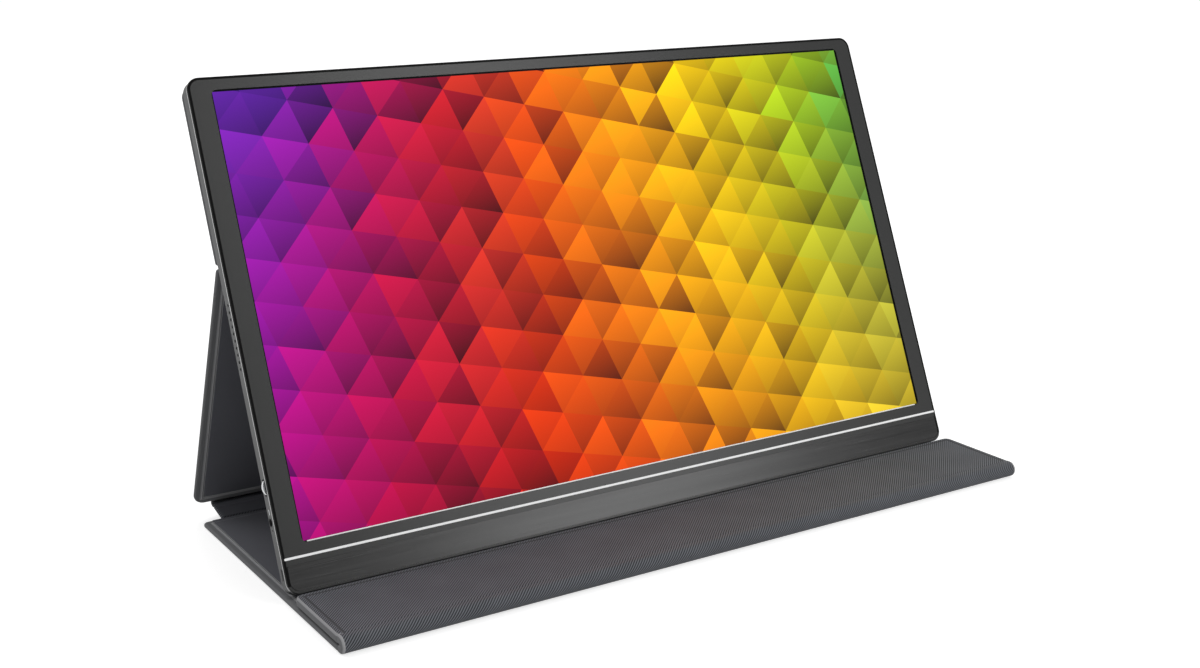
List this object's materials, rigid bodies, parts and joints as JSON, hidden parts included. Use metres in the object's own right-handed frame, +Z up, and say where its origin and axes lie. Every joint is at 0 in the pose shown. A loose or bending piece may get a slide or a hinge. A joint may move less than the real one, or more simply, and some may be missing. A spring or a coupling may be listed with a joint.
{
  "type": "portable monitor",
  "caption": "Slim portable monitor leaning on a folding magnetic cover that makes a base, a rear leg and a front flap; the screen lifts off and the stand folds flat.",
  "frame": {"origin": "middle of the base panel's underside, on the table", "axes": "+X to the viewer's right along the screen, +Y to the back, +Z up"},
  "size_m": [0.3664, 0.1741, 0.2088],
  "materials": {
    "housing": "satin",
    "bezel": "satin",
    "chin": "brushed",
    "trim": "polished",
    "screen_glass": "satin",
    "diffuser": "matte",
    "clear_plastic": "gloss",
    "tray": "satin",
    "adhesive": "matte",
    "board": "satin",
    "chip": "matte",
    "film": "satin",
    "screw": "satin",
    "socket": "satin",
    "speaker": "matte",
    "magnet": "satin",
    "control": "satin",
    "carrier": "matte",
    "cover_cloth": "twill",
    "cover_lining": "suede",
    "cover_board": "matte"
  },
  "bodies": {
    "base": {"base_skin": "cover_cloth", "base_board": "cover_board", "base_lining": "cover_lining", "front_fold_cloth": "cover_cloth", "base_fold_cloth": "cover_cloth"},
    "flap": {"flap_skin": "cover_cloth", "flap_board": "cover_board", "flap_lining": "cover_lining", "flap_magnets": "magnet"},
    "spine": {"spine_skin": "cover_cloth", "spine_board": "cover_board", "spine_lining": "cover_lining", "spine_fold_cloth": "cover_cloth"},
    "leg": {"leg_skin": "cover_cloth", "leg_board": "cover_board", "leg_lining": "cover_lining", "leg_fold_cloth": "cover_cloth"},
    "back_panel": {"back_skin": "cover_cloth", "back_board": "cover_board", "back_lining": "cover_lining", "back_magnets": "magnet"},
    "menu_press": {"menu_wheel_carrier": "carrier"},
    "menu_wheel": {"menu_wheel": "control"},
    "power_button": {"power_button": "control"},
    "screen": {"rear_housing": "housing", "front_bezel": "bezel", "chin_panel": "chin", "trim_strip": "trim", "lcd_cell": "screen_glass", "diffuser_films": "diffuser", "reflector_sheet": "diffuser", "light_guide": "clear_plastic", "status_light_pipe": "clear_plastic", "panel_tray": "tray", "bezel_tape": "adhesive", "main_board": "board", "control_board": "board", "driver_board": "board", "led_bar": "board", "picture_processor": "chip", "menu_switch": "chip", "power_switch": "chip", "headphone_jack": "chip", "panel_flexes": "film", "panel_cable": "film", "board_ribbon": "film", "board_screws": "screw", "usb_c_socket_lower": "socket", "usb_c_socket_upper": "socket", "mini_hdmi_socket": "socket", "speaker_left": "speaker", "speaker_right": "speaker", "housing_magnets": "magnet"}
  },
  "joints": [
    {"name": "flap_fold", "type": "hinge", "parent": "base", "child": "flap", "pos_m": [0, -0.08144, 0.0037], "axis": [1, 0, 0], "range_deg": [0, 180], "deforming": ["front_fold_cloth"]},
    {"name": "spine_fold", "type": "hinge", "parent": "base", "child": "spine", "pos_m": [0, 0.0803, 0.0012], "axis": [-1, 0, 0], "range_deg": [0, 20.93], "deforming": ["base_fold_cloth"]},
    {"name": "leg_fold", "type": "hinge", "parent": "spine", "child": "leg", "pos_m": [0, 0.09312, 0.00542], "axis": [-1, 0, 0], "range_deg": [0, 96], "deforming": ["spine_fold_cloth"]},
    {"name": "screen_fold", "type": "hinge", "parent": "leg", "child": "back_panel", "pos_m": [0, 0.03656, 0.13129], "axis": [1, 0, 0], "range_deg": [0, 54.28], "deforming": ["leg_fold_cloth"]},
    {"name": "screen_lift", "type": "slide", "parent": "back_panel", "child": "screen", "axis": [0, 0, 1], "range_m": [0, 0.25]},
    {"name": "menu_press", "type": "slide", "parent": "screen", "child": "menu_press", "axis": [1, 0, 0], "range_m": [0, 0.0004], "stiffness_N_per_m": 600, "springref_m": -0.0005},
    {"name": "menu_turn", "type": "hinge", "parent": "menu_press", "child": "menu_wheel", "pos_m": [-0.1792, -0.00572, 0.04603], "axis": [0, -0.9205, 0.3908], "range_deg": [-12, 12], "stiffness_Nm_per_rad": 0.02},
    {"name": "power_press", "type": "slide", "parent": "screen", "child": "power_button", "axis": [1, 0, 0], "range_m": [0, 0.00035], "stiffness_N_per_m": 600, "springref_m": -0.0005}
  ],
  "couplings": [
    {"joint": "spine_fold", "follows": "leg_fold", "ratio": 0.18959},
    {"joint": "screen_fold", "follows": "leg_fold", "ratio": 0.49172}
  ]
}
